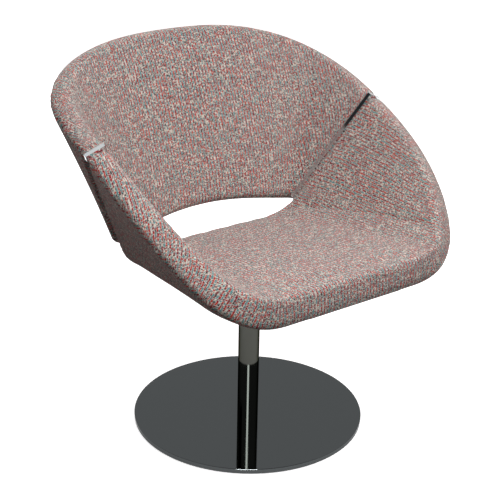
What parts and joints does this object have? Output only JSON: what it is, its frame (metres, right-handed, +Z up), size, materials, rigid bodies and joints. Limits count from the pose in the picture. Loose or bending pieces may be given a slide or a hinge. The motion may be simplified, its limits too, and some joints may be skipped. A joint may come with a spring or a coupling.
{
  "type": "pedestal swivel armchair",
  "caption": "Upholstered tub armchair in two padded shells joined by polished side plates, turning on a slim column and a flat round foot.",
  "frame": {"origin": "on the floor, on the swivel axis, in the middle of the round foot", "axes": "+Z up along the swivel axis, -Y towards the front of the seat, +X towards the sitter's left arm"},
  "size_m": [0.7146, 0.6446, 0.7715],
  "materials": {
    "dark_polished_steel": "mirror polished, dark nickel plated",
    "bright_polished_steel": "mirror polished",
    "zinc_plated_steel": "zinc plated",
    "plain_steel": "turned",
    "black_painted_steel": "satin powder coat",
    "sintered_bronze": "turned",
    "black_glide_plastic": "moulded",
    "moulded_plywood": "sanded",
    "cushion_foam": "cut foam",
    "flecked_tweed": "coarse flecked weave"
  },
  "bodies": {
    "base": {"floor_ring": "black_glide_plastic", "base_disc": "dark_polished_steel", "base_screws": "zinc_plated_steel", "column_tube": "dark_polished_steel", "foot_plug": "plain_steel", "lower_bush": "sintered_bronze", "upper_bush": "sintered_bronze", "thrust_washer": "black_glide_plastic"},
    "seat": {"swivel_spindle": "plain_steel", "retaining_ring": "plain_steel", "mounting_plate": "black_painted_steel", "mounting_screws": "zinc_plated_steel", "threaded_inserts": "zinc_plated_steel", "side_plate_left": "bright_polished_steel", "side_plate_right": "bright_polished_steel", "seam_studs_left": "zinc_plated_steel", "seam_studs_right": "zinc_plated_steel", "seat_barrel_nuts": "zinc_plated_steel", "back_barrel_nuts": "zinc_plated_steel", "seat_shell": "moulded_plywood", "back_shell": "moulded_plywood", "seat_foam": "cushion_foam", "back_foam": "cushion_foam", "seat_cover": "flecked_tweed", "back_cover": "flecked_tweed"}
  },
  "joints": [
    {"name": "seat_swivel", "type": "hinge", "parent": "base", "child": "seat", "pos_m": [0, 0, 0.3285], "axis": [0, 0, 1], "continuous": true}
  ]
}
